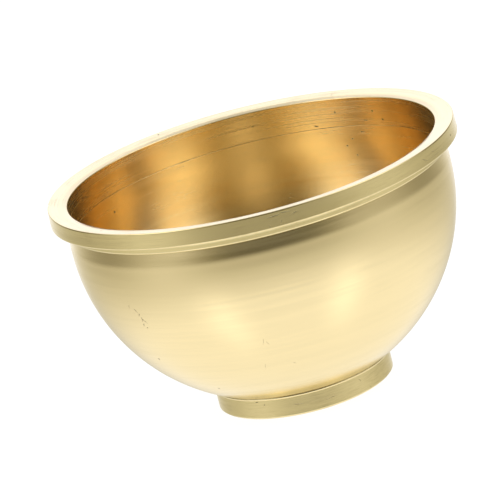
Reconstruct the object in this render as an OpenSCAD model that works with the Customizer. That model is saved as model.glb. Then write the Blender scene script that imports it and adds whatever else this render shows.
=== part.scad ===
// Shaving bowl: a round metal bowl with a collar at its rim and a foot ring under it.
// The origin is the centre of the foot on the resting plane, +Z is up, and all sizes are in millimetres.
// Every piece is a figure of revolution about Z. The pieces meet in a lap joint under the rim and in a
// ball-shaped seat on the foot, and each joint is closed by a ring of filler metal.

/* [Overall] */
// Outside diameter of the rim band, the widest part of the bowl
rim_d = 110; // [90:1:132]
// Height from the resting plane to the top edge of the lip
bowl_h = 64.5; // [53:0.5:85]

/* [Bowl wall] */
// Wall thickness of the body
wall = 1.7; // [1.2:0.1:2.5]
// Radius of the flattened floor inside the bowl
floor_r = 200; // [120:10:400]
// Radius of the turn between the floor and the round side
knuckle_r = 14; // [8:1:20]
// Gap under the middle of the bowl, from the resting plane to the shell
recess_h = 2.8; // [2:0.2:5]

/* [Rim] */
// How far the band stands out past the body
overhang = 3.6; // [2:0.2:6]
// Height of the band
band_h = 4.4; // [3:0.2:8]
// How far the lip slopes down from its outer edge to its inner edge
lip_drop = 0.95; // [0:0.05:1.5]
// Height of the step under the band
step_h = 2.5; // [1.5:0.1:4]
// How far the step stands out past the body
step_out = 0.35; // [0.2:0.05:1]
// Flat broken edge along the band and the step
edge = 0.25; // [0.1:0.05:0.5]

/* [Foot] */
// Outside diameter of the foot ring
foot_d = 47.6; // [38:0.2:60]
// Height of the body's round side above the resting plane, where it passes over the foot's outer wall
foot_h = 5.9; // [4.5:0.1:9]
// Thickness of the foot ring
foot_wall = 3.6; // [2.5:0.1:6]
// Flat broken edge round the bottom of the foot ring
foot_edge = 0.5; // [0.2:0.1:1]

/* [Joints] */
// How far the collar's skirt laps down inside the shell, below the step
lap_h = 2.0; // [1.2:0.1:4]
// Radial and end clearance in the lap joint, filled by the filler metal
joint_gap = 0.05; // [0.02:0.01:0.1]
// Radius of the filler ring in the seam round the inside
seam_wire_r = 0.35; // [0.2:0.05:0.5]
// Radius of the filler bead round the top of the foot ring
bead_r = 0.5; // [0.4:0.05:0.7]

/* [Hidden] */
$fn = 256;

rim_r = rim_d / 2;
body_r = rim_r - overhang;
inner_r = body_r - wall;
foot_r = foot_d / 2;

// Heights of the rim's features, measured down from the lip
band_z = bowl_h - band_h;
step_z = band_z - step_h;
seam_z = step_z - lap_h;
step_r = body_r + step_out;

// The side is a ball below ball_z and a straight wall above it
ball_z = foot_h + sqrt(body_r * body_r - foot_r * foot_r);
floor_z = recess_h + wall + floor_r;

// Centre of the turn between the ball and the floor: it touches both circles from inside
floor_rise = floor_z - ball_z;
side_reach = inner_r - knuckle_r;
floor_reach = floor_r - knuckle_r;
turn_y = (side_reach * side_reach + floor_rise * floor_rise - floor_reach * floor_reach)
    / (2 * floor_rise);
turn_x = sqrt(side_reach * side_reach - turn_y * turn_y);

// Radii on the shell's underside where the ball passes into the turn, and the turn into the floor
side_touch = turn_x * body_r / side_reach;
floor_touch = turn_x * (floor_r + wall) / floor_reach;

// Height of the shell's underside at radius r
function underside(r) =
    r > side_touch ? ball_z - sqrt(body_r * body_r - r * r)
    : r > floor_touch ? ball_z + turn_y - sqrt(pow(knuckle_r + wall, 2) - pow(r - turn_x, 2))
    : floor_z - sqrt(pow(floor_r + wall, 2) - r * r);

// The foot's outer wall ends where it reaches the shell
foot_top = underside(foot_r);

// The lap joint splits the wall in half
lap_r = inner_r + wall / 2;
reach = rim_r + bowl_h;

// Keeps the half of a profile that a revolution may use
module right_half() {
    intersection() {
        children();
        translate([0, -reach]) square([reach, 3 * reach]);
    }
}

// The bowl's hollow as a filled outline, grown outwards by t
module hollow_outline(t) {
    translate([0, ball_z]) square([inner_r + t, reach - ball_z]);
    right_half() difference() {
        intersection() {
            translate([0, ball_z]) circle(r = inner_r + t);
            translate([0, floor_z]) circle(r = floor_r + t);
        }
        turn_wedge();
    }
    right_half() translate([turn_x, ball_z + turn_y]) circle(r = knuckle_r + t);
}

// The corner between the two tangent directions, which the turn's circle replaces
module turn_wedge() {
    side_dir = [turn_x, turn_y] / side_reach;
    floor_dir = [turn_x, turn_y - floor_rise] / floor_reach;
    translate([turn_x, ball_z + turn_y])
        polygon([[0, 0], reach * side_dir, reach * (side_dir + floor_dir), reach * floor_dir]);
}

// The filler ring's section, centred in the seam at the wall's inner face
module seam_wire() {
    translate([inner_r + seam_wire_r / 2, seam_z]) circle(r = seam_wire_r);
}

// The filler bead's section, centred inside the corner between the foot and the shell so that half of
// its radius stands out past the foot
module foot_bead() {
    translate([foot_r - bead_r / 2, foot_top - bead_r / 3]) circle(r = bead_r);
}

// The wall of the bowl up to the step, with half its thickness left as a tongue outside the lap joint
module shell_section() {
    difference() {
        hollow_outline(wall);
        hollow_outline(0);
        translate([0, seam_z]) square([lap_r + joint_gap, reach]);
        translate([0, step_z - joint_gap]) square([reach, reach]);
        seam_wire();
    }
}

// Band, step and skirt in one turned collar with a lip that slopes inwards
module collar_section() {
    difference() {
        polygon([
            [0, seam_z], [lap_r, seam_z], [lap_r, step_z],
            [step_r - edge, step_z], [step_r, step_z + edge], [step_r, band_z],
            [rim_r - edge, band_z], [rim_r, band_z + edge],
            [rim_r, bowl_h - edge], [rim_r - edge, bowl_h],
            [inner_r, bowl_h - lip_drop], [0, bowl_h - lip_drop]
        ]);
        hollow_outline(0);
        seam_wire();
    }
}

// A plain ring whose top is cut to the round of the shell
module foot_section() {
    difference() {
        polygon([
            [foot_r - foot_wall + foot_edge, 0], [foot_r - foot_edge, 0],
            [foot_r, foot_edge], [foot_r, foot_top + wall],
            [foot_r - foot_wall, foot_top + wall], [foot_r - foot_wall, foot_edge]
        ]);
        hollow_outline(wall);
        foot_bead();
    }
}

module bowl_shell() {
    color([0.86, 0.73, 0.45]) rotate_extrude() shell_section();
}

module rim_ring() {
    color([0.78, 0.70, 0.46]) rotate_extrude() collar_section();
}

module rim_braze() {
    color([0.50, 0.36, 0.16]) rotate_extrude() difference() {
        seam_wire();
        hollow_outline(0);
    }
}

module foot_ring() {
    color([0.72, 0.63, 0.40]) rotate_extrude() foot_section();
}

module foot_braze() {
    color([0.93, 0.82, 0.56]) rotate_extrude() difference() {
        foot_bead();
        hollow_outline(wall);
    }
}

bowl_shell();
rim_ring();
rim_braze();
foot_ring();
foot_braze();
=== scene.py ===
"""A shaving bowl in turned brass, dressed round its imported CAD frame.

Five pieces of revolution stand in for the five CAD nodes: the ball-shaped shell, the rim collar with its
sloping lip, the filler ring in the inside seam, the foot ring and the filler bead above the foot. Each is
a profile in the radius-height plane carried round the Z axis on a numpy grid. Knocks, a nick and lathe
waviness are part of the surfaces; the finest tool lines, pits and scratches are in the materials.
"""

import logging
import math
from dataclasses import dataclass, field
from enum import Enum
from typing import Callable, ClassVar, Optional, Sequence, Union

import bpy
import numpy as np
from mathutils import Matrix, Vector


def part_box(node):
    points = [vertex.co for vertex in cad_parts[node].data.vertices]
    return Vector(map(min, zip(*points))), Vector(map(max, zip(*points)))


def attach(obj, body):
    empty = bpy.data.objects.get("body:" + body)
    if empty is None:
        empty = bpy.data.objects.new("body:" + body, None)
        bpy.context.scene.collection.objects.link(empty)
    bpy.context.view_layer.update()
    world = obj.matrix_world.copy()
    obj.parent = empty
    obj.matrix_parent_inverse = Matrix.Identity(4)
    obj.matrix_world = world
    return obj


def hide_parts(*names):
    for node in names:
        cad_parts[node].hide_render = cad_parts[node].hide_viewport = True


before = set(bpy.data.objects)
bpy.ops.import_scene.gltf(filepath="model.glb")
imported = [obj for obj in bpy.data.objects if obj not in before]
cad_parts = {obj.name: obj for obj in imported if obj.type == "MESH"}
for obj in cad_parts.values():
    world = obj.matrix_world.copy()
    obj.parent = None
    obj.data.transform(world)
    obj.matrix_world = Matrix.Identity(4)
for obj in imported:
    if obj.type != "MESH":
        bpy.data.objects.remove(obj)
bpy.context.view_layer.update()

LOG = logging.getLogger("shaving_bowl")
MM = 0.001
ROUND_STEPS = 8
WAVES = 24
UV_SCALE = 10.0
VECTOR_SOCKETS = ("Object", "Ring")
LINE_TINT = (0.74, 0.60, 0.32)
WORN_TINT = (0.97, 0.84, 0.52)
DIRT_TINT = (0.10, 0.065, 0.022)
PIT_SCALE = 310.0
PIT_SIZE = 0.11
HAIR_DEPTH = 0.002 * MM
MARK_DEPTH = 0.03 * MM

Colour = tuple[float, float, float]
Value = Union[float, Sequence[float], "Signal"]


# --------------------------------------------------------------------------------------------------
# Profiles
# --------------------------------------------------------------------------------------------------


@dataclass(frozen=True)
class Corner:
    """A corner of a turned outline.

    Args:
        r: distance from the axis, in metres.
        z: height above the resting plane, in metres.
        soft: radius that rounds the corner, in metres.
    """

    r: float
    z: float
    soft: float = 0.0


@dataclass
class Profile:
    """A turned outline as points in the radius-height plane, with the solid on its left.

    Args:
        points: rows of radius and height, in metres.
        edge: 1 at each broken or rounded corner, 0 elsewhere, one number a point.
        closed: whether the last point joins the first, as on a ring.
        inside: 1 where the surface belongs to the bowl's hollow, one number a point.
        painted_light: share of the finish's painted light colour, one number a point: painted shade low on
            the shell, painted sheen on the lip.
    """

    points: np.ndarray
    edge: np.ndarray
    closed: bool
    inside: Optional[np.ndarray] = None
    painted_light: Optional[np.ndarray] = None

    def lengths(self) -> np.ndarray:
        """Returns the distance along the outline up to each point, in metres."""
        steps = np.hypot(*np.diff(self.points, axis=0).T)
        return np.concatenate([[0.0], np.cumsum(steps)])

    def normals(self) -> np.ndarray:
        """Finds the outward direction at each point: the travel direction turned a quarter to the right.

        Returns:
            Rows of radius and height shares.
        """
        if self.closed:
            along = np.roll(self.points, -1, 0) - np.roll(self.points, 1, 0)
        else:
            along = np.gradient(self.points, axis=0)
        along /= np.maximum(np.hypot(*along.T), 1e-12)[:, None]
        return np.stack([along[:, 1], -along[:, 0]], 1)


def arc(centre: tuple[float, float], radius: float, start: float, stop: float, count: int) -> np.ndarray:
    """Points on a circular arc: the centre plus the radius at evenly spaced angles.

    Args:
        centre: radius and height of the arc's centre.
        radius: the arc's radius.
        start: first angle in radians, from the outward direction, counter-clockwise.
        stop: last angle in radians.
        count: number of points, ends included.

    Returns:
        Rows of radius and height.
    """
    angles = np.linspace(start, stop, count)
    return np.stack([centre[0] + radius * np.cos(angles), centre[1] + radius * np.sin(angles)], 1)


def straight(first: np.ndarray, last: np.ndarray, step: float) -> np.ndarray:
    """Points on a straight run, spaced by a cosine so that they crowd towards both ends.

    Args:
        first: starting point.
        last: end point.
        step: spacing in the middle of the run.

    Returns:
        Rows of radius and height, both ends left out.
    """
    count = max(3, int(np.hypot(*(last - first)) / step) + 3)
    share = (1.0 - np.cos(np.linspace(0.0, math.pi, count))) / 2.0
    return first + (last - first) * share[1:-1, None]


def turned(corners: Sequence[Corner], closed: bool, step: float = 0.5 * MM) -> Profile:
    """Joins corners with straight runs and rounds each with a curve tangent to both of its runs.

    The curve's ends lie soft / tan(half the corner's angle) from the corner, and its points follow the
    quadratic curve between them, (1 - t)^2 a + 2 t (1 - t) corner + t^2 b.

    Args:
        corners: the outline's corners, with the solid on the left of the travel direction.
        closed: whether the outline closes on itself.
        step: spacing of the points on straight runs.

    Returns:
        The profile.
    """
    places = np.array([(c.r, c.z) for c in corners])
    count = len(corners)
    chunks, marks = [], []
    for i, corner in enumerate(corners):
        here = places[i]
        end = not closed and i in (0, count - 1)
        if end or corner.soft == 0.0:
            bend = here[None]
        else:
            back = places[i - 1] - here
            ahead = places[(i + 1) % count] - here
            back /= np.hypot(*back)
            ahead /= np.hypot(*ahead)
            inner_angle = math.acos(float(np.clip(back @ ahead, -1.0, 1.0)))
            reach = corner.soft / math.tan(inner_angle / 2.0)
            t = np.linspace(0.0, 1.0, ROUND_STEPS + 1)[:, None]
            bend = ((1 - t) ** 2 * (here + back * reach) + 2 * t * (1 - t) * here
                    + t**2 * (here + ahead * reach))
        if chunks:
            run = straight(chunks[-1][-1], bend[0], step)
            chunks.append(run)
            marks.append(np.zeros(len(run)))
        chunks.append(bend)
        marks.append(np.full(len(bend), float(corner.soft > 0.0)))
    if closed:
        run = straight(chunks[-1][-1], chunks[0][0], step)
        chunks.append(run)
        marks.append(np.zeros(len(run)))
    return Profile(np.concatenate(chunks), np.concatenate(marks), closed)


# --------------------------------------------------------------------------------------------------
# Surfaces of revolution
# --------------------------------------------------------------------------------------------------


def ripple(angles: np.ndarray, seed: int, lowest: int, highest: int) -> np.ndarray:
    """A smooth random function round the axis: a sum of cosines with seeded phases, about 1 at its highest.

    Args:
        angles: angles in radians.
        seed: seed for the phases and weights.
        lowest: fewest waves round the axis.
        highest: most waves round the axis.

    Returns:
        One value an angle, between about -1 and 1.
    """
    random = np.random.default_rng(seed)
    counts = random.integers(lowest, highest + 1, WAVES)
    phases = random.uniform(0.0, 2.0 * math.pi, WAVES)
    weights = random.uniform(0.3, 1.0, WAVES)
    waves = np.cos(angles[..., None] * counts + phases) * weights
    return waves.sum(-1) / weights.sum() * 2.0


def bell(values: np.ndarray, middle: float, width: float) -> np.ndarray:
    """Returns exp(-((value - middle) / width)^2) for each value."""
    return np.exp(-(((values - middle) / width) ** 2))


@dataclass
class Turning:
    """A profile carried round the Z axis.

    Args:
        name: name of the piece.
        profile: the outline in the radius-height plane.
        columns: number of steps round the axis.
        relief: function of the profile's points and the column angles that gives how far each grid point
            is pushed along its outward direction, in metres.
    """

    name: str
    profile: Profile
    columns: int
    relief: Callable[[np.ndarray, np.ndarray], np.ndarray]

    def grid(self) -> np.ndarray:
        """Finds the points (r cos a, r sin a, z) for each profile point and angle, moved by the relief.

        Returns:
            An array of rows, columns and coordinates.
        """
        angles = np.arange(self.columns) * 2.0 * math.pi / self.columns
        points, normals = self.profile.points, self.profile.normals()
        push = self.relief(points, angles)
        r = points[:, :1] + normals[:, :1] * push
        z = points[:, 1:] + normals[:, 1:] * push
        return np.stack([r * np.cos(angles), r * np.sin(angles), z + 0.0 * angles], -1)

    def faces(self) -> tuple[np.ndarray, np.ndarray]:
        """Quads between neighbouring rows and columns, the last column joined to the first.

        Returns:
            Row and column index of each corner of each quad, both as arrays of quads by 4.
        """
        rows = len(self.profile.points)
        last = rows if self.profile.closed else rows - 1
        row, column = np.meshgrid(np.arange(last), np.arange(self.columns), indexing="ij")
        row, column = row.ravel(), column.ravel()
        corners = np.stack([column, column + 1, column + 1, column], 1)
        return np.stack([row, row, row + 1, row + 1], 1), corners

    def build(self) -> bpy.types.Object:
        """Makes the mesh with its UV map and attributes.

        The UV map "turning" holds the distance along the profile and the angle. The attributes "edge",
        "inside" and "zone" carry the profile's own numbers.

        Returns:
            The new object, linked to the scene.
        """
        profile, columns = self.profile, self.columns
        rows = len(profile.points)
        row, column = self.faces()
        index = (row % rows) * columns + column % columns
        points = self.grid().reshape(-1, 3)
        lengths = np.append(profile.lengths(), 0.0)
        if profile.closed:
            lengths[-1] = lengths[-2] + np.hypot(*(profile.points[0] - profile.points[-1]))
        uv = np.stack([lengths[row] * UV_SCALE, column / columns], -1)
        for end in np.flatnonzero(profile.points[:, 0] < 1e-9):
            index = np.where(row % rows == end, end * columns, index)
            points[end * columns : (end + 1) * columns, :2] = 0.0
        mesh = bpy.data.meshes.new(self.name)
        used = self.fill(mesh, points, index, uv)
        for key in ("edge", "inside", "painted_light"):
            numbers = getattr(profile, key)
            numbers = np.zeros(rows) if numbers is None else numbers
            layer = mesh.attributes.new(key, "FLOAT", "POINT")
            layer.data.foreach_set("value", np.repeat(numbers, columns)[used].astype(np.float32))
        mesh.polygons.foreach_set("use_smooth", np.ones(len(mesh.polygons), bool))
        mesh.update()
        piece = bpy.data.objects.new(self.name, mesh)
        bpy.context.scene.collection.objects.link(piece)
        return piece

    @staticmethod
    def fill(mesh: bpy.types.Mesh, points: np.ndarray, index: np.ndarray, uv: np.ndarray) -> np.ndarray:
        """Puts the points and faces into a mesh; a quad with two corners on one pole becomes a triangle.

        Args:
            mesh: the empty mesh.
            points: coordinates of every grid point.
            index: four point numbers a face.
            uv: four UV pairs a face.

        Returns:
            The numbers of the grid points that the mesh uses.
        """
        keep = index != np.roll(index, -1, 1)
        sizes = keep.sum(1)
        used, corners = np.unique(index[keep], return_inverse=True)
        mesh.vertices.add(len(used))
        mesh.vertices.foreach_set("co", points[used].astype(np.float32).ravel())
        mesh.loops.add(len(corners))
        mesh.loops.foreach_set("vertex_index", corners.astype(np.int32).ravel())
        mesh.polygons.add(len(sizes))
        starts = np.concatenate([[0], np.cumsum(sizes)[:-1]])
        mesh.polygons.foreach_set("loop_start", starts.astype(np.int32))
        layer = mesh.uv_layers.new(name="turning")
        layer.data.foreach_set("uv", uv[keep].astype(np.float32).ravel())
        mesh.update(calc_edges=True)
        mesh.validate()
        return used


# --------------------------------------------------------------------------------------------------
# Node wiring and shared effects
# --------------------------------------------------------------------------------------------------


@dataclass(frozen=True)
class Signal:
    """What comes out of a node's socket; arithmetic on it adds Math nodes.

    Args:
        wiring: the tree that it runs in.
        socket: the output socket.
    """

    wiring: "Wiring"
    socket: bpy.types.NodeSocket

    def __add__(self, other: Value) -> "Signal":
        """Returns the sum."""
        return self.wiring.math("ADD", self, other)

    def __radd__(self, other: Value) -> "Signal":
        """Returns the sum with a number in front."""
        return self.wiring.math("ADD", other, self)

    def __sub__(self, other: Value) -> "Signal":
        """Returns the difference."""
        return self.wiring.math("SUBTRACT", self, other)

    def __rsub__(self, other: Value) -> "Signal":
        """Returns a number less this."""
        return self.wiring.math("SUBTRACT", other, self)

    def __mul__(self, other: Value) -> "Signal":
        """Returns the product."""
        return self.wiring.math("MULTIPLY", self, other)

    def __truediv__(self, other: Value) -> "Signal":
        """Returns the quotient."""
        return self.wiring.math("DIVIDE", self, other)


@dataclass(frozen=True)
class Wiring:
    """Adds nodes to one tree and joins them.

    Args:
        tree: the node tree that is filled.
    """

    tree: bpy.types.NodeTree

    @classmethod
    def fresh(cls, owner: Union[bpy.types.Material, bpy.types.World]) -> "Wiring":
        """Empties a material's or a world's tree.

        Args:
            owner: the material or the world.

        Returns:
            The wiring for its tree.
        """
        owner.use_nodes = True
        owner.node_tree.nodes.clear()
        return cls(owner.node_tree)

    def feed(self, socket: bpy.types.NodeSocket, value: Value) -> None:
        """Joins a signal to a socket, or sets the socket's own value.

        Args:
            socket: the input socket.
            value: a signal, a number, a vector or a colour.
        """
        if isinstance(value, Signal):
            self.tree.links.new(value.socket, socket)
        elif isinstance(value, (int, float)):
            socket.default_value = value
        else:
            socket.default_value = (*value, 1.0) if socket.type == "RGBA" else tuple(value)

    def node(self, kind: str, inputs: Optional[dict] = None, **settings: object) -> bpy.types.Node:
        """Adds a node.

        Args:
            kind: Blender's name for it.
            inputs: what it is fed, by the input's name or number.
            settings: its properties.

        Returns:
            The node.
        """
        made = self.tree.nodes.new(kind)
        for key, setting in settings.items():
            setattr(made, key, setting)
        for key, value in (inputs or {}).items():
            self.feed(made.inputs[key], value)
        return made

    def make(self, kind: str, inputs: Optional[dict] = None, output: Union[int, str] = 0,
             **settings: object) -> Signal:
        """Adds a node as node() does and returns one of its outputs, by name or number."""
        return Signal(self, self.node(kind, inputs, **settings).outputs[output])

    def named(self, node: bpy.types.Node) -> dict[str, Signal]:
        """Returns a node's outputs by name."""
        return {socket.name: Signal(self, socket) for socket in node.outputs}

    def math(self, operation: str, *values: Value, clamp: bool = False) -> Signal:
        """Adds a Math node and returns its result."""
        return self.make("ShaderNodeMath", dict(enumerate(values)), operation=operation, use_clamp=clamp)

    def join(self, *numbers: Value) -> Signal:
        """Joins three numbers into a vector."""
        return self.make("ShaderNodeCombineXYZ", dict(enumerate(numbers)))

    def split(self, vector: Value) -> tuple[Signal, ...]:
        """Splits a vector into its three numbers."""
        return tuple(self.named(self.node("ShaderNodeSeparateXYZ", {0: vector})).values())

    def span(self, value: Value, low: Value, high: Value, start: float = 0.0, stop: float = 1.0) -> Signal:
        """Carries a value smoothly from one span to another and holds it at both ends.

        Args:
            value: the value.
            low: where the first span begins.
            high: where it ends.
            start: the result up to there.
            stop: the result from there on.

        Returns:
            The result.
        """
        return self.make("ShaderNodeMapRange", {"Value": value, "From Min": low, "From Max": high,
                                                "To Min": start, "To Max": stop},
                         "Result", interpolation_type="SMOOTHSTEP")

    def blend(self, share: Value, first: Value, second: Value) -> Signal:
        """Mixes two colours by a share."""
        return self.make("ShaderNodeMix", {0: share, 6: first, 7: second}, 2, data_type="RGBA")

    def noise(self, vector: Value, scale: Value, detail: float = 2.0, rough: float = 0.5) -> Signal:
        """Adds a Noise texture and returns its value."""
        return self.make("ShaderNodeTexNoise", {"Vector": vector, "Scale": scale, "Detail": detail,
                                                "Roughness": rough}, noise_dimensions="3D")

    def use(self, group: bpy.types.NodeTree, **inputs: Value) -> dict[str, Signal]:
        """Places a node group and returns its outputs by name."""
        return self.named(self.node("ShaderNodeGroup", inputs, node_tree=group))

    def leave(self, **outputs: Value) -> bpy.types.NodeTree:
        """Feeds a node group's own outputs and returns its tree."""
        self.node("NodeGroupOutput", outputs)
        return self.tree


class Effect(Enum):
    """Effects shared by the brass finishes, each a node group."""

    SURFACE = "surface_place"
    LINES = "turning_lines"
    TARNISH = "tarnish"
    WEAR = "edge_wear"
    PITS = "pits"
    HAIRLINES = "hairlines"
    STROKE = "stroke"


@dataclass
class EffectBook:
    """Makes each shared effect once and keeps it."""

    made: dict[Effect, bpy.types.NodeTree] = field(default_factory=dict)

    def get(self, effect: Effect) -> bpy.types.NodeTree:
        """Finds an effect's node group, and makes it the first time.

        Args:
            effect: the effect.

        Returns:
            Its node group.
        """
        if effect not in self.made:
            self.made[effect] = getattr(self, effect.value)()
        return self.made[effect]

    @staticmethod
    def start(effect: Effect, inputs: str, outputs: str) -> tuple[Wiring, dict[str, Signal]]:
        """Makes an empty group; Object and Ring are vectors and every other socket is a number.

        Args:
            effect: the effect that it is for.
            inputs: names of its inputs.
            outputs: names of its outputs.

        Returns:
            The wiring and the inputs by name.
        """
        tree = bpy.data.node_groups.new(effect.value, "ShaderNodeTree")
        for in_out, labels in (("INPUT", inputs), ("OUTPUT", outputs)):
            for label in labels.split():
                kind = "NodeSocketVector" if label in VECTOR_SOCKETS else "NodeSocketFloat"
                tree.interface.new_socket(label, in_out=in_out, socket_type=kind)
        w = Wiring(tree)
        return w, w.named(w.node("NodeGroupInput"))

    def surface_place(self) -> bpy.types.NodeTree:
        """Place on a turned surface: angle and height, and a point on a ring that has no seam.

        The angle is the arctangent of y and x; the ring point is the cosine and the sine of the angle with
        the distance along the outline as its third number.

        Returns:
            The node group.
        """
        w, given = self.start(Effect.SURFACE, "Object Along", "Angle Radius Height Ring")
        x, y, z = w.split(given["Object"])
        angle = w.math("ARCTAN2", y, x)
        radius = w.math("SQRT", x * x + y * y)
        ring = w.join(w.math("COSINE", angle), w.math("SINE", angle), given["Along"])
        return w.leave(Angle=angle, Radius=radius, Height=z, Ring=ring)

    def turning_lines(self) -> bpy.types.NodeTree:
        """Tool lines that run round the axis: noise stretched round the ring, coarse and fine added.

        Returns:
            The node group.
        """
        w, given = self.start(Effect.LINES, "Ring Pitch Break", "Height Streak")
        x, y, along = w.split(given["Ring"])
        turns, pitch = given["Break"], given["Pitch"]
        fine = w.noise(w.join(x * turns, y * turns, along * pitch), 1.0, 3.0, 0.6)
        slow = w.join(x * (turns * 2.3), y * (turns * 2.3), along * (pitch * 0.22))
        coarse = w.noise(slow, 1.0, 2.0, 0.5)
        return w.leave(Height=fine * 0.65 + coarse * 0.35,
                       Streak=w.span(fine * 0.4 + coarse * 0.6, 0.38, 0.66))

    def tarnish(self) -> bpy.types.NodeTree:
        """Patches of dull brass: one noise long round the axis and one cloudy, added, above a threshold.

        Returns:
            The node group.
        """
        w, given = self.start(Effect.TARNISH, "Ring Object Cover", "Mask")
        x, y, along = w.split(given["Ring"])
        banded = w.noise(w.join(x * 5.0, y * 5.0, along * 420.0), 1.0, 4.0, 0.62)
        cloudy = w.noise(given["Object"], 95.0, 4.0, 0.6)
        both = banded * 0.55 + cloudy * 0.45
        edge = 0.72 - given["Cover"] * 0.34
        return w.leave(Mask=w.span(both, edge - 0.11, edge + 0.11))

    def edge_wear(self) -> bpy.types.NodeTree:
        """Where handling has polished the broken edges: the edge mark broken up by fine noise.

        Returns:
            The node group.
        """
        w, given = self.start(Effect.WEAR, "Edge Object Amount", "Mask")
        broken = w.span(w.noise(given["Object"], 900.0, 3.0, 0.6), 0.3, 0.62)
        return w.leave(Mask=w.math("MULTIPLY", given["Edge"] * broken, given["Amount"], clamp=True))

    def pits(self) -> bpy.types.NodeTree:
        """Small casting pits: spots round the points of a Voronoi pattern, kept only in scattered patches.

        Returns:
            The node group.
        """
        w, given = self.start(Effect.PITS, "Object Scale Size Cover", "Mask")
        wobble = w.noise(given["Object"], 2600.0, 2.0, 0.6)
        place = w.make("ShaderNodeVectorMath",
                       {0: given["Object"], 1: w.join(wobble * (0.22 * MM), 0.0, 0.0)}, operation="ADD")
        cells = w.named(w.node("ShaderNodeTexVoronoi", {"Vector": place, "Scale": given["Scale"]},
                               feature="F1", voronoi_dimensions="3D"))
        spot = w.span(cells["Distance"], given["Size"] * 0.5, given["Size"], 1.0, 0.0)
        chosen = w.math("LESS_THAN", w.split(cells["Color"])[0], given["Cover"])
        patch = w.span(w.noise(given["Object"], 60.0, 2.0, 0.5), 0.46, 0.6)
        return w.leave(Mask=spot * chosen * patch)

    def hairlines(self) -> bpy.types.NodeTree:
        """Fine handling scratches: thin level lines of a stretched noise, at two slants, in patches.

        Returns:
            The node group.
        """
        w, given = self.start(Effect.HAIRLINES, "Angle Radius Height Amount", "Mask")
        height, sideways = given["Height"], given["Angle"] * given["Radius"]
        masks = []
        for slant, shift in ((0.9, 3.1), (-1.3, 8.7)):
            cosine, sine = math.cos(slant), math.sin(slant)
            across = sideways * cosine + height * sine
            length = height * cosine - sideways * sine
            level = w.noise(w.join(across * 620.0, length * 70.0, shift), 1.0, 1.0, 0.5) - 0.5
            patch = w.span(w.noise(w.join(sideways, height, shift), 110.0, 2.0, 0.5), 0.5, 0.66)
            masks.append(w.span(w.math("ABSOLUTE", level), 0.004, 0.016, 1.0, 0.0) * patch)
        return w.leave(Mask=w.math("MULTIPLY", w.math("MAXIMUM", *masks), given["Amount"], clamp=True))

    def stroke(self) -> bpy.types.NodeTree:
        """One scratch: a thin curved stroke whose middle is at the angle Turn and the height Rise.

        The surface is laid flat as distance round and height from the scratch's middle, turned by its slant;
        the mask falls off with the distance from the middle line, and past its ends.

        Returns:
            The node group.
        """
        w, given = self.start(Effect.STROKE, "Angle Radius Height Turn Rise Slant Length Width Bow", "Mask")
        sideways = (given["Angle"] - given["Turn"]) * given["Radius"]
        upward = given["Height"] - given["Rise"]
        cosine, sine = w.math("COSINE", given["Slant"]), w.math("SINE", given["Slant"])
        along = sideways * cosine + upward * sine
        across = upward * cosine - sideways * sine
        share = along / given["Length"]
        curve = share * share * given["Bow"]
        shake = (w.noise(w.join(along, across, 0.0), 1500.0) - 0.5) * (0.5 * MM)
        off = w.math("ABSOLUTE", across - curve + shake)
        line = w.span(off, given["Width"] * 0.35, given["Width"], 1.0, 0.0)
        return w.leave(Mask=line * w.span(w.math("ABSOLUTE", share), 0.35, 0.5, 1.0, 0.0))


# --------------------------------------------------------------------------------------------------
# Brass finishes
# --------------------------------------------------------------------------------------------------


@dataclass(frozen=True)
class Scratch:
    """A scratch on a turned surface.

    Args:
        angle: place round the axis, in degrees.
        height: place above the resting plane, in millimetres.
        slant: direction, in degrees from level.
        length: length in millimetres.
        width: width in millimetres.
        bow: how far its ends bend away, in millimetres.
        depth: how dark and deep it is, 0 to 1.
        inner: whether it is in the bowl's hollow.
    """

    angle: float
    height: float
    slant: float
    length: float
    width: float = 0.12
    bow: float = 0.0
    depth: float = 0.8
    inner: bool = False


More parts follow.
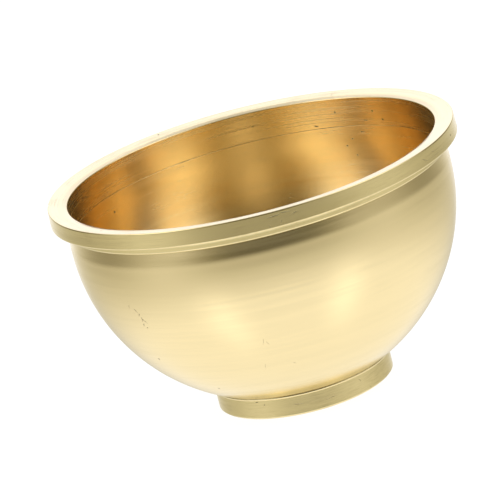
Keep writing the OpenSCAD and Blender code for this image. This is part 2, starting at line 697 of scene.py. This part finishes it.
@dataclass(frozen=True)
class Brass:
    """A turned brass finish.

    Args:
        name: the material's name.
        tint: colour of the clean metal.
        dull: colour of the tarnished metal.
        inner_tint: colour of the metal inside the bowl.
        painted_light_tint: colour painted where the attribute "painted_light" is 1: painted shade on the
            shell over the foot, a paler painted sheen on the collar's lip.
        inner_rough: roughness that the metal inside the bowl has in addition.
        roughness: how satin the clean metal is.
        grain: how far highlights are drawn out across the tool lines.
        pitch: tool lines per 0.1 m along the outline.
        run: how soon a line breaks off round the axis.
        cut: height of the tool lines in metres.
        streak: how much the lines change the roughness and the colour.
        cover: share of the surface that is tarnished.
        stain: how dark the tarnish is.
        pits: share of possible pits that are there.
        hair: strength of fine handling scratches.
        wear: how much the edges are polished.
        scratches: scratches placed one by one.
    """

    name: str
    tint: Colour = (0.950, 0.785, 0.445)
    dull: Colour = (0.560, 0.430, 0.190)
    inner_tint: Colour = (0.925, 0.715, 0.375)
    # Painted sheen: this pale default is the colour painted on the collar's lip.
    painted_light_tint: Colour = (0.965, 0.820, 0.610)
    inner_rough: float = 0.045
    roughness: float = 0.20
    grain: float = 0.84
    pitch: float = 260.0
    run: float = 0.6
    cut: float = 0.0008 * MM
    streak: float = 0.05
    cover: float = 0.22
    stain: float = 0.06
    pits: float = 0.10
    hair: float = 0.08
    wear: float = 0.6
    scratches: tuple[Scratch, ...] = ()

    def build(self, book: EffectBook) -> bpy.types.Material:
        """Makes the material.

        Args:
            book: the shared effects.

        Returns:
            The material.
        """
        material = bpy.data.materials.new(self.name)
        w = Wiring.fresh(material)
        place = w.make("ShaderNodeTexCoord", output="Object")
        along = w.split(w.make("ShaderNodeUVMap", uv_map="turning"))[0]
        edge, inside, painted_light = (w.make("ShaderNodeAttribute", output="Fac", attribute_name=key)
                              for key in ("edge", "inside", "painted_light"))
        surface = w.use(book.get(Effect.SURFACE), Object=place, Along=along)
        flat = {key: surface[key] for key in ("Angle", "Radius", "Height")}
        lines = w.use(book.get(Effect.LINES), Ring=surface["Ring"], Pitch=self.pitch, Break=self.run)
        dull = w.use(book.get(Effect.TARNISH), Ring=surface["Ring"], Object=place, Cover=self.cover)["Mask"]
        worn = w.use(book.get(Effect.WEAR), Edge=edge, Object=place, Amount=self.wear)["Mask"]
        pitted = w.use(book.get(Effect.PITS), Object=place, Scale=PIT_SCALE, Size=PIT_SIZE,
                       Cover=self.pits)["Mask"]
        hair = w.use(book.get(Effect.HAIRLINES), **flat, Amount=self.hair)["Mask"]
        marks = self.marks(w, book, flat, inside)
        clean = w.blend(inside, self.tint, self.inner_tint)
        # Painted light: mixes in painted shade on the shell just over the foot and a paler painted sheen on
        # the collar's lip.
        clean = w.blend(painted_light, clean, self.painted_light_tint)
        stained = w.blend(dull * self.stain, clean, self.dull)
        lined = w.blend(lines["Streak"] * self.streak, stained, LINE_TINT)
        polished = w.blend(worn * 0.6, lined, WORN_TINT)
        dark = w.math("MAXIMUM", pitted * 0.85, marks)
        coloured = w.blend(dark, polished, DIRT_TINT)
        rough = self.roughness + inside * self.inner_rough + dull * 0.05
        rough = rough + (lines["Streak"] - 0.5) * self.streak - worn * 0.07 + hair * 0.08
        rough = w.math("ADD", rough, dark * 0.30, clamp=True)
        relief = lines["Height"] * self.cut - hair * HAIR_DEPTH - dark * MARK_DEPTH
        bump = w.make("ShaderNodeBump", {"Strength": 1.0, "Distance": 1.0, "Height": relief})
        tangent = w.make("ShaderNodeTangent", direction_type="UV_MAP", uv_map="turning")
        shader = w.make("ShaderNodeBsdfPrincipled",
                        {"Metallic": 1.0, "Anisotropic": self.grain, "Base Color": coloured,
                         "Roughness": rough, "Normal": bump, "Tangent": tangent})
        w.node("ShaderNodeOutputMaterial", {"Surface": shader})
        return material

    def marks(self, w: Wiring, book: EffectBook, flat: dict[str, Signal], inside: Signal) -> Value:
        """Adds the scratches placed one by one.

        Args:
            w: the material's wiring.
            book: the shared effects.
            flat: angle, radius and height on the surface.
            inside: 1 in the bowl's hollow.

        Returns:
            A mask of all of them, or 0 where there are none.
        """
        total: Value = 0.0
        for mark in self.scratches:
            one = w.use(book.get(Effect.STROKE), **flat, Turn=math.radians(mark.angle),
                        Rise=mark.height * MM, Slant=math.radians(mark.slant), Length=mark.length * MM,
                        Width=mark.width * MM / 2.0, Bow=mark.bow * MM)["Mask"]
            side = inside if mark.inner else 1.0 - inside
            total = w.math("MAXIMUM", total, one * side * mark.depth)
        return total


# --------------------------------------------------------------------------------------------------
# The bowl's pieces
# --------------------------------------------------------------------------------------------------


@dataclass(frozen=True)
class Hollow:
    """The bowl's inner shape and the places that the pieces share, in metres.

    A crowned floor, a turn and a ball run into each other: every circle's centre is shared by the inner and
    the outer surface, which lie one wall apart.

    Args:
        rim_r: radius of the rim band.
        body_r: outer radius of the ball.
        top: height of the lip's outer edge.
        recess: height of the shell's underside at the axis.
        foot_r: outer radius of the foot ring.
        wall: wall thickness.
        floor_r: radius of the floor's crown.
        knuckle_r: radius of the turn between floor and ball.
        foot_h: height of the ball's outside over the foot's outer wall.
    """

    rim_r: float
    body_r: float
    top: float
    recess: float
    foot_r: float
    wall: float = 1.7 * MM
    floor_r: float = 200.0 * MM
    knuckle_r: float = 14.0 * MM
    foot_h: float = 5.9 * MM

    @classmethod
    def from_frame(cls) -> "Hollow":
        """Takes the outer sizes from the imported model's boxes."""
        rim, shell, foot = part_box("rim_ring"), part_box("bowl_shell"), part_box("foot_ring")
        return cls(rim_r=rim[1].x, body_r=shell[1].x, top=rim[1].z, recess=shell[0].z, foot_r=foot[1].x)

    @property
    def inner_r(self) -> float:
        """Radius of the inner wall."""
        return self.body_r - self.wall

    @property
    def lap_r(self) -> float:
        """Radius of the lap joint, which splits the wall in half."""
        return self.inner_r + self.wall / 2.0

    @property
    def ball_z(self) -> float:
        """Height of the ball's centre: its outside passes over the foot's outer wall at foot_h."""
        return self.foot_h + math.sqrt(self.body_r**2 - self.foot_r**2)

    @property
    def floor_z(self) -> float:
        """Height of the centre of the floor's crown."""
        return self.recess + self.wall + self.floor_r

    @property
    def turn(self) -> tuple[float, float]:
        """Centre of the turn, which touches the ball and the crown from inside."""
        rise = self.floor_z - self.ball_z
        side, floor = self.inner_r - self.knuckle_r, self.floor_r - self.knuckle_r
        y = (side**2 + rise**2 - floor**2) / (2.0 * rise)
        return math.sqrt(side**2 - y**2), self.ball_z + y

    def outline(self, thick: float) -> np.ndarray:
        """Crown, turn and ball from the axis out and up to the ball's widest place, grown by a thickness.

        Args:
            thick: 0 for the inner surface, the wall for the outer one.

        Returns:
            Rows of radius and height.
        """
        turn = self.turn
        low = math.atan2(turn[1] - self.floor_z, turn[0])
        high = math.atan2(turn[1] - self.ball_z, turn[0])
        crown = arc((0.0, self.floor_z), self.floor_r + thick, -math.pi / 2.0, low, 18)
        crown[0, 0] = 0.0
        knuckle = arc(turn, self.knuckle_r + thick, low, high, 12)
        ball = arc((0.0, self.ball_z), self.inner_r + thick, high, 0.0, 84)
        return np.concatenate([crown[:-1], knuckle[:-1], ball])

    def underside(self, r: float) -> float:
        """Height of the ball's outside at a radius."""
        return self.ball_z - math.sqrt(self.body_r**2 - r**2)


@dataclass
class Piece:
    """A turned piece of the bowl; each kind adds its sizes, its outline and its relief.

    Args:
        hollow: the shared shape.
    """

    NAME: ClassVar[str]
    NODE: ClassVar[str]
    SLOT: ClassVar[str]
    COLUMNS: ClassVar[int]
    FINISH: ClassVar[Brass]

    hollow: Hollow

    def profile(self) -> Profile:
        """Returns the piece's outline with its marks."""
        raise NotImplementedError

    def relief(self, points: np.ndarray, angles: np.ndarray) -> np.ndarray:
        """Returns how far each point is pushed outwards at each angle, in metres."""
        raise NotImplementedError

    def build(self, book: EffectBook) -> None:
        """Builds the piece, dresses it, ties it to the body and hides its CAD node.

        Args:
            book: the shared effects.
        """
        piece = Turning(self.NAME, self.profile(), self.COLUMNS, self.relief).build()
        piece.data.materials.append(self.FINISH.build(book))
        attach(piece, "root")
        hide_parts(self.NODE)
        LOG.info("%s: %d faces, finish %s, stands for %s", piece.name, len(piece.data.polygons),
                 self.FINISH.name, self.NODE)


@dataclass
class BowlShell(Piece):
    """The ball-shaped body with a thinned tongue round its top for the collar.

    Args:
        step_drop: from the lip down to the step's underside.
        lap: height of the tongue.
        gap: clearance in the lap joint.
        neck_h: height of the shallow neck turned under the step.
        neck_slope: how far the neck leans in, in degrees.
        groove: broken edge that leaves room for the filler in the seam.
        painted_shade_top: height up to which the outside is painted darker, as painted shade over the foot's
            joint.
        painted_shade_fade: height over which the painted shade grows to its full strength.
        painted_shade_share: the painted shade's full strength, 0 to 1.
    """

    NAME = "shell_body"
    NODE = "bowl_shell"
    SLOT = "shell_brass"
    COLUMNS = 320
    FINISH = Brass(
        "shell_brass",
        # Painted shade: olive colour painted on the shell's outside just over the foot.
        painted_light_tint=(0.66, 0.55, 0.30),
        scratches=(
            Scratch(-141.4, 42.6, 62.0, 1.6, depth=0.45),
            Scratch(-139.0, 41.5, 118.0, 1.5, 0.16, 0.3),
            Scratch(-138.4, 40.3, 52.0, 1.3, 0.13, -0.2),
            Scratch(-138.0, 38.9, 74.0, 1.6, 0.18, 0.35),
            Scratch(-137.1, 38.4, 128.0, 1.9, 0.13, 0.2),
            Scratch(-138.5, 37.2, 60.0, 1.3, 0.16),
            Scratch(-137.6, 36.4, 20.0, 0.9, 0.14, depth=0.6),
            Scratch(-100.2, 28.8, 70.0, 2.2, 0.12, 0.6, 0.40),
            Scratch(-99.0, 28.2, 112.0, 1.8, 0.12, -0.5, 0.35),
            Scratch(-103.0, 20.5, 75.0, 2.6, 0.11, 0.3, 0.30),
            Scratch(-92.4, 19.8, 140.0, 1.0, 0.16, depth=0.40),
            Scratch(57.1, 50.0, 20.0, 0.7, 0.34, inner=True),
            Scratch(54.7, 51.9, 160.0, 0.8, 0.32, inner=True),
            Scratch(50.3, 53.7, 5.0, 1.6, 0.30, inner=True),
            Scratch(54.1, 47.2, 40.0, 0.6, 0.30, inner=True),
        ),
    )

    step_drop: float = 6.9 * MM
    lap: float = 2.0 * MM
    gap: float = 0.05 * MM
    neck_h: float = 3.8 * MM
    neck_slope: float = 6.5
    groove: float = 0.10 * MM
    painted_shade_top: float = 9.3 * MM
    painted_shade_fade: float = 1.5 * MM
    painted_shade_share: float = 0.9

    def profile(self) -> Profile:
        """The wall's outline from the axis below, over the tongue, and down the inside to the axis."""
        h = self.hollow
        top = h.top - self.step_drop - self.gap
        seam = h.top - self.step_drop - self.lap
        outer, inner = h.outline(h.wall), h.outline(0.0)[::-1]
        neck = h.body_r - math.tan(math.radians(self.neck_slope)) * self.neck_h
        rim = turned([
            Corner(*outer[-1]),
            Corner(h.body_r, top - self.neck_h, 12.0 * MM),
            Corner(neck, top, 0.06 * MM),
            Corner(h.lap_r + self.gap, top, 0.05 * MM),
            Corner(h.lap_r + self.gap, seam, 0.04 * MM),
            Corner(h.inner_r + self.groove, seam, 0.03 * MM),
            Corner(h.inner_r, seam - self.groove, 0.03 * MM),
            Corner(*inner[0]),
        ], closed=False)
        points = np.concatenate([outer[:-1], rim.points, inner[1:]])
        inside = (np.arange(len(points)) >= len(outer) - 1 + len(rim.points) // 2).astype(float)
        # Painted shade: the shell's outside is painted darker towards the foot's joint, fading out upwards.
        painted_shade = np.clip((self.painted_shade_top - points[:, 1]) / self.painted_shade_fade, 0.0, 1.0) * (1.0 - inside)
        return Profile(points, np.zeros(len(points)), False, inside, painted_shade * self.painted_shade_share)

    def relief(self, points: np.ndarray, angles: np.ndarray) -> np.ndarray:
        """Lathe and polishing waviness: slow ripples round the axis that drift with height."""
        drift = points[:, 1:] * 40.0
        slow = ripple(angles[None] + drift * 0.6, 11, 2, 7)
        quick = ripple(angles[None] - drift, 12, 9, 26)
        calm = np.clip(points[:, :1] / (20.0 * MM), 0.0, 1.0)
        return (slow * 0.010 + quick * 0.0005) * MM * calm


@dataclass
class RimCollar(Piece):
    """The turned collar: skirt inside the tongue, step, band and a lip that slopes inwards.

    Args:
        band_h: height of the band.
        step_h: height of the step.
        lap: height of the skirt.
        step_out: how far the step stands out past the body.
        step_lean: how far the step's face leans in towards its lower edge.
        cove: radius of the hollow corner between the step and the band.
        band_lean: how far the band's face leans in towards the lip.
        lip_drop: fall of the lip from its outer to its inner edge.
        crown_in: how far in from the band the lip grows steeper.
        crown_drop: fall of the lip up to there.
        groove: broken edge that leaves room for the filler in the seam.
        painted_sheen_in: how far in from the lip's outer edge its painted sheen begins, a paler colour where
            the lip catches the light.
        painted_sheen_share: strength of the painted sheen's paler colour, 0 to 1.
        nick_at: angle of the nick in the lip's outer edge, in degrees.
        nick_depth: depth of the nick.
    """

    NAME = "rim_collar"
    NODE = "rim_ring"
    SLOT = "collar_brass"
    COLUMNS = 768
    FINISH = Brass(
        "collar_brass", tint=(0.920, 0.770, 0.405), cover=0.34, stain=0.42, pits=0.16, streak=0.09,
        scratches=(
            Scratch(-88.0, 63.3, 4.0, 3.4, 0.22, 0.1, 0.55),
            Scratch(-84.6, 63.6, 176.0, 2.6, 0.20, 0.0, 0.50),
            Scratch(-82.4, 62.8, 12.0, 1.8, 0.16, 0.0, 0.45),
            Scratch(-86.2, 61.4, 70.0, 1.6, 0.14, 0.2, 0.35),
            Scratch(-89.4, 60.9, 100.0, 1.2, 0.14, 0.0, 0.35),
            Scratch(-37.9, 61.9, 150.0, 2.4, 0.14, 0.2, 0.50),
            Scratch(-33.0, 62.6, 160.0, 1.8, 0.12, 0.0, 0.40),
            Scratch(40.8, 57.3, 10.0, 0.9, 0.36, inner=True),
            Scratch(48.0, 57.0, 5.0, 1.6, 0.26, inner=True, depth=0.6),
            Scratch(66.1, 56.4, 15.0, 1.2, 0.32, inner=True),
        ),
    )

    band_h: float = 4.4 * MM
    step_h: float = 2.5 * MM
    lap: float = 2.0 * MM
    step_out: float = 0.35 * MM
    step_lean: float = 0.08 * MM
    cove: float = 1.2 * MM
    band_lean: float = 0.18 * MM
    lip_drop: float = 0.85 * MM
    crown_in: float = 3.8 * MM
    crown_drop: float = 0.36 * MM
    groove: float = 0.10 * MM
    painted_sheen_in: float = 0.12 * MM
    painted_sheen_share: float = 0.85
    nick_at: float = 175.2
    nick_depth: float = 0.30 * MM

    def profile(self) -> Profile:
        """The collar's outline, once round: skirt, step, band, lip and inner wall."""
        h = self.hollow
        band = h.top - self.band_h
        step = band - self.step_h
        seam = step - self.lap
        step_r = h.body_r + self.step_out
        lip_r = h.rim_r - self.band_lean
        profile = turned([
            Corner(h.inner_r, seam + self.groove, 0.03 * MM),
            Corner(h.inner_r + self.groove, seam, 0.03 * MM),
            Corner(h.lap_r, seam, 0.05 * MM),
            Corner(h.lap_r, step, 0.04 * MM),
            Corner(step_r - self.step_lean, step, 0.42 * MM),
            Corner(step_r, band, self.cove),
            Corner(h.rim_r, band, 0.36 * MM),
            Corner(lip_r, h.top, 0.28 * MM),
            Corner(h.rim_r - self.crown_in, h.top - self.crown_drop, 5.0 * MM),
            Corner(h.inner_r, h.top - self.lip_drop, 0.26 * MM),
        ], closed=True, step=0.36 * MM)
        r, z = profile.points.T
        profile.inside = (r < h.inner_r + 0.05 * MM).astype(float)
        # Painted sheen: the lip's top, in from its outer edge, is painted paler where it catches the light.
        painted_sheen = (z > h.top - self.lip_drop) & (r < lip_r - self.painted_sheen_in)
        profile.painted_light = painted_sheen * (1.0 - profile.inside) * self.painted_sheen_share
        return profile

    def relief(self, points: np.ndarray, angles: np.ndarray) -> np.ndarray:
        """Slow turning ripple, small knocks along the edges and one nick in the lip's outer edge."""
        wave = ripple(angles, 21, 2, 6) * 0.008 + ripple(angles, 22, 20, 60) * 0.0012
        total = np.repeat(wave[None], len(points), 0) * MM
        h = self.hollow
        r, z = points[:, :1], points[:, 1:]
        outer = bell(r, h.rim_r, 0.35 * MM)
        upper = bell(z, h.top, 0.25 * MM)
        lower = bell(z, h.top - self.band_h, 0.25 * MM)
        knocks = np.clip(ripple(angles, 23, 60, 160) - 0.50, 0.0, 1.0)[None]
        more = np.clip(ripple(angles, 24, 50, 140) - 0.55, 0.0, 1.0)[None]
        total = total - outer * (upper * knocks + lower * more) * 0.05 * MM
        sideways = np.angle(np.exp(1j * (angles - math.radians(self.nick_at)))) * h.rim_r
        nick = bell(z, h.top, 0.5 * MM) * bell(sideways, 0.0, 0.7 * MM)[None]
        return total - nick * outer * self.nick_depth


@dataclass
class SeamFiller(Piece):
    """The ring of filler metal in the inside seam, flush with the wall, sunk and pitted here and there.

    Args:
        seam_drop: from the lip down to the seam.
        wire_r: radius of the filler's round section.
    """

    NAME = "seam_filler_ring"
    NODE = "rim_braze"
    SLOT = "seam_filler"
    COLUMNS = 2048
    FINISH = Brass("seam_filler", tint=(0.80, 0.60, 0.29), dull=(0.16, 0.09, 0.03), grain=0.5,
                   roughness=0.30, inner_tint=(0.80, 0.60, 0.29), cover=0.55, stain=0.85, pits=0.3)

    seam_drop: float = 8.9 * MM
    wire_r: float = 0.35 * MM

    def profile(self) -> Profile:
        """A circle cut flat where it meets the inner wall's face."""
        h = self.hollow
        centre = (h.inner_r + self.wire_r / 2.0, h.top - self.seam_drop)
        half = math.pi - math.acos(0.5)
        back = arc(centre, self.wire_r, -half, half, 10)
        points = np.concatenate([back, straight(back[-1], back[0], 0.16 * MM)])
        return Profile(points, np.zeros(len(points)), True, np.ones(len(points)))

    def relief(self, points: np.ndarray, angles: np.ndarray) -> np.ndarray:
        """Sinks the filler's face by a seeded noise round the ring, deepest in short dashes."""
        face = np.clip(1.0 - (points[:, :1] - self.hollow.inner_r) / (0.06 * MM), 0.0, 1.0)
        dashes = np.clip(ripple(angles, 31, 40, 190) - 0.12, 0.0, 1.0)
        stretch = np.clip(ripple(angles, 32, 2, 5) * 0.8 + 0.5, 0.15, 1.0)
        return -face * (0.012 + dashes * stretch * 0.22)[None] * MM


@dataclass
class FootRing(Piece):
    """The plain ring under the bowl, its top cut to the round of the shell.

    Args:
        thick: radial thickness.
        edge: broken edge round the bottom.
        sink: how far the seat stays under the shell.
    """

    NAME = "foot_band"
    NODE = "foot_ring"
    SLOT = "foot_brass"
    COLUMNS = 512
    FINISH = Brass(
        "foot_brass", tint=(0.920, 0.770, 0.405), cover=0.40, stain=0.50, pits=0.2, streak=0.08,
        cut=0.002 * MM,
        scratches=(
            Scratch(-125.7, 5.0, 8.0, 1.2, 0.22, 0.0, 0.75),
            Scratch(-120.7, 4.1, 40.0, 0.9, 0.16, 0.0, 0.60),
            Scratch(-54.2, 4.0, 120.0, 1.4, 0.16, 0.1, 0.45),
            Scratch(-77.0, 2.6, 10.0, 3.0, 0.16, 0.1, 0.30),
            Scratch(-98.0, 3.2, 170.0, 2.4, 0.16, 0.1, 0.30),
        ),
    )

    thick: float = 3.6 * MM
    edge: float = 0.5 * MM
    sink: float = 0.02 * MM

    def profile(self) -> Profile:
        """The ring's section: flat foot, broken edges, straight walls and the seat under the shell."""
        h = self.hollow
        inner = h.foot_r - self.thick
        seat = [Corner(r, h.underside(r) - self.sink) for r in np.linspace(h.foot_r, inner, 12)]
        return turned([
            Corner(inner + self.edge, 0.0, 0.12 * MM),
            Corner(h.foot_r - self.edge, 0.0, 0.12 * MM),
            Corner(h.foot_r, self.edge, 0.15 * MM),
            *seat,
            Corner(inner, self.edge, 0.15 * MM),
        ], closed=True, step=0.40 * MM)

    def relief(self, points: np.ndarray, angles: np.ndarray) -> np.ndarray:
        """Tool ripple on the outer wall and a few knocks in the bottom edge, both inwards only."""
        wave = ripple(angles, 41, 2, 6) * 0.010 + ripple(angles, 42, 18, 50) * 0.002
        knocks = np.clip(ripple(angles, 43, 30, 90) - 0.45, 0.0, 1.0)
        low = bell(points[:, 1:], self.edge, 0.5 * MM)
        outer = (points[:, :1] > self.hollow.foot_r - self.edge * 1.1).astype(float)
        rises = np.clip(points[:, 1:] / (1.0 * MM), 0.0, 1.0)
        return (rises * (wave - 0.012)[None] - low * outer * knocks[None] * 0.08) * MM


@dataclass
class FootBead(Piece):
    """The bead of filler metal in the corner between the foot and the shell.

    Args:
        bead_r: radius of the bead's section.
        sink: how far the bead stays under the shell.
    """

    NAME = "foot_bead"
    NODE = "foot_braze"
    SLOT = "bead_filler"
    COLUMNS = 1024
    FINISH = Brass("bead_filler", tint=(0.95, 0.80, 0.45), roughness=0.24, grain=0.5, cover=0.2,
                   stain=0.35, pits=0.35)

    bead_r: float = 0.5 * MM
    sink: float = 0.01 * MM

    def profile(self) -> Profile:
        """A circle whose centre lies inside the corner, cut to the round of the shell."""
        h = self.hollow
        centre = (h.foot_r - self.bead_r / 2.0, h.underside(h.foot_r) - self.bead_r / 3.0)
        circle = arc(centre, self.bead_r, -math.pi, math.pi, 25)[:-1]
        ceiling = np.array([h.underside(r) for r in circle[:, 0]]) - self.sink
        circle[:, 1] = np.minimum(circle[:, 1], ceiling)
        return Profile(circle, np.ones(len(circle)), True)

    def relief(self, points: np.ndarray, angles: np.ndarray) -> np.ndarray:
        """Uneven bead: it thins out where the filler flowed less."""
        flow = ripple(angles, 51, 5, 40) * 0.5 + ripple(angles, 52, 60, 150) * 0.3
        return np.repeat(np.minimum(flow * 0.05 - 0.03, 0.0)[None], len(points), 0) * MM


# --------------------------------------------------------------------------------------------------
# Studio
# --------------------------------------------------------------------------------------------------


@dataclass(frozen=True)
class SoftLight:
    """A tall soft light in the studio's surroundings.

    Args:
        azimuth: direction round the bowl in degrees, 0 towards +X and 90 towards +Y.
        width: how far it reaches to each side, in degrees.
        low: height of its lower edge above the horizon, in degrees.
        high: height of its upper edge.
        soft: softness of both edges, in degrees.
        strength: radiance at its middle.
    """

    azimuth: float
    width: float
    low: float
    high: float
    soft: float
    strength: float


@dataclass(frozen=True)
class TableGlow:
    """How the white table brightens from the horizon down, as seen in the metal.

    Args:
        high: where it begins, in degrees below the horizon.
        low: where it is full.
        strength: radiance that it adds there.
    """

    high: float
    low: float
    strength: float


DIMMER = 0.8
AMBIENT = 0.03
WARM_GREEN = 0.05
WARM_BLUE = 0.33
TABLE = (TableGlow(4.0, 13.0, 0.62), TableGlow(10.0, 42.0, 0.66))
LIGHTS = {
    "left box": SoftLight(-172.0, 20.0, 14.0, 80.0, 12.0, 2.25),
    "right box": SoftLight(-8.0, 20.0, 14.0, 80.0, 12.0, 2.25),
    "left strip": SoftLight(-144.0, 11.5, 3.0, 60.0, 8.0, 0.84),
    "right strip": SoftLight(-40.0, 12.5, 3.0, 60.0, 8.0, 0.80),
    "left wall": SoftLight(-159.0, 19.0, -16.0, 16.0, 10.0, 0.46),
    "right wall": SoftLight(-19.0, 19.0, -16.0, 16.0, 10.0, 0.37),
    "backdrop": SoftLight(90.0, 21.0, -14.0, 50.0, 9.0, 1.50),
    "left glow on the table": SoftLight(-137.0, 10.0, -62.0, -32.0, 9.0, 0.30),
    "right glow on the table": SoftLight(-44.0, 10.0, -62.0, -32.0, 9.0, 0.32),
    "ceiling": SoftLight(-90.0, 90.0, 46.0, 120.0, 14.0, 0.66),
}


@dataclass(frozen=True)
class Studio:
    """Plain pale floor, soft surroundings and the camera.

    Args:
        elevation: how far the camera looks down, in degrees.
        roll: the camera's turn about its line of sight, in degrees.
        lens: focal length in millimetres.
        sensor: width of the sensor in millimetres.
        distance: from the target to the camera, in metres.
        target: the point in the middle of the view, in metres.
        floor_half: half the floor's side, in metres.
        floor_glow: tone of the floor by its own light.
        floor_grey: how much of the surroundings' light the floor gives back.
    """

    elevation: float = 16.252
    roll: float = 14.175
    lens: float = 328.1
    sensor: float = 36.0
    distance: float = 1204.5 * MM
    target: tuple[float, float, float] = (-5.76 * MM, 0.0, 40.23 * MM)
    floor_half: float = 6.0
    floor_glow: float = 0.93
    floor_grey: float = 0.2

    def camera(self) -> None:
        """Sets the camera: it looks along +Y and down, rolled about its line of sight."""
        tilt, roll = math.radians(self.elevation), math.radians(self.roll)
        right, up = Vector((1.0, 0.0, 0.0)), Vector((0.0, math.sin(tilt), math.cos(tilt)))
        back = Vector((0.0, -math.cos(tilt), math.sin(tilt)))
        x_axis = math.cos(roll) * right - math.sin(roll) * up
        y_axis = math.sin(roll) * right + math.cos(roll) * up
        turn = Matrix((x_axis, y_axis, back)).transposed().to_4x4()
        data = bpy.data.cameras.new("camera")
        data.lens, data.sensor_width, data.clip_start, data.clip_end = self.lens, self.sensor, 0.05, 100.0
        eye = bpy.data.objects.new("camera", data)
        eye.matrix_world = Matrix.Translation(Vector(self.target) + back * self.distance) @ turn
        bpy.context.scene.collection.objects.link(eye)
        bpy.context.scene.camera = eye

    def floor(self) -> None:
        """Lays a pale floor that glows evenly for the eye; the metal's reflections pass through it."""
        mesh = bpy.data.meshes.new("floor")
        half = self.floor_half
        mesh.from_pydata([(-half, -half, 0.0), (half, -half, 0.0), (half, half, 0.0), (-half, half, 0.0)], [],
                         [(0, 1, 2, 3)])
        floor = bpy.data.objects.new("floor", mesh)
        bpy.context.scene.collection.objects.link(floor)
        material = bpy.data.materials.new("floor_paper")
        w = Wiring.fresh(material)
        glow = w.make("ShaderNodeEmission", {"Strength": self.floor_glow})
        matt = w.make("ShaderNodeBsdfDiffuse", {"Color": (self.floor_grey,) * 3})
        both = w.make("ShaderNodeAddShader", {0: glow, 1: matt})
        w.node("ShaderNodeOutputMaterial", {"Surface": both})
        mesh.materials.append(material)
        floor.visible_glossy = False

    @staticmethod
    def surroundings() -> None:
        """Soft light from all round: ambient, the table below, and tall soft lights, all added up.

        A light's side falls off as a bell of the turn between its direction and the ray's, both laid flat;
        its lower and upper edges are smooth steps of the ray's height. Dim directions are warmer: the green
        and blue shares are small powers of the strength. Straight to the eye the surroundings are white.
        """
        world = bpy.data.worlds.new("studio")
        bpy.context.scene.world = world
        w = Wiring.fresh(world)
        x, y, z = w.split(w.make("ShaderNodeTexCoord", output="Generated"))
        flat = w.math("MAXIMUM", w.math("SQRT", x * x + y * y), 0.0001)
        rise = w.math("DEGREES", w.math("ARCSINE", z))
        total: Value = AMBIENT
        for glow in TABLE:
            total = total + w.span(rise, -glow.low, -glow.high, glow.strength, 0.0)
        for light in LIGHTS.values():
            turn = math.radians(light.azimuth)
            near = (x * math.cos(turn) + y * math.sin(turn)) / flat - 1.0
            side = w.math("EXPONENT", near * (1.0 / math.radians(light.width) ** 2))
            bottom = w.span(rise, light.low - light.soft, light.low + light.soft)
            top = w.span(rise, light.high - light.soft, light.high + light.soft, 1.0, 0.0)
            total = total + side * (bottom * top) * light.strength
        seen = w.make("ShaderNodeLightPath", output="Is Camera Ray")
        strength = w.make("ShaderNodeMix", {0: seen, 2: total * DIMMER, 3: 1.0}, data_type="FLOAT")
        shade = w.math("MINIMUM", strength, 1.0)
        colour = w.make("ShaderNodeCombineColor", {"Red": 1.0, "Green": w.math("POWER", shade, WARM_GREEN),
                                                   "Blue": w.math("POWER", shade, WARM_BLUE)})
        w.node("ShaderNodeOutputWorld",
               {"Surface": w.make("ShaderNodeBackground", {"Color": colour, "Strength": strength})})

    def build(self) -> None:
        """Sets up the camera, the floor, the surroundings and a plain view transform."""
        self.camera()
        self.floor()
        self.surroundings()
        view = bpy.context.scene.view_settings
        view.view_transform, view.look, view.exposure, view.gamma = "Standard", "None", 0.0, 1.0


def main() -> None:
    logging.basicConfig(level=logging.INFO, format="%(name)s: %(message)s")
    hollow = Hollow.from_frame()
    book = EffectBook()
    for kind in (BowlShell, RimCollar, SeamFiller, FootRing, FootBead):
        kind(hollow).build(book)
    Studio().build()


if __name__ == "__main__":
    main()
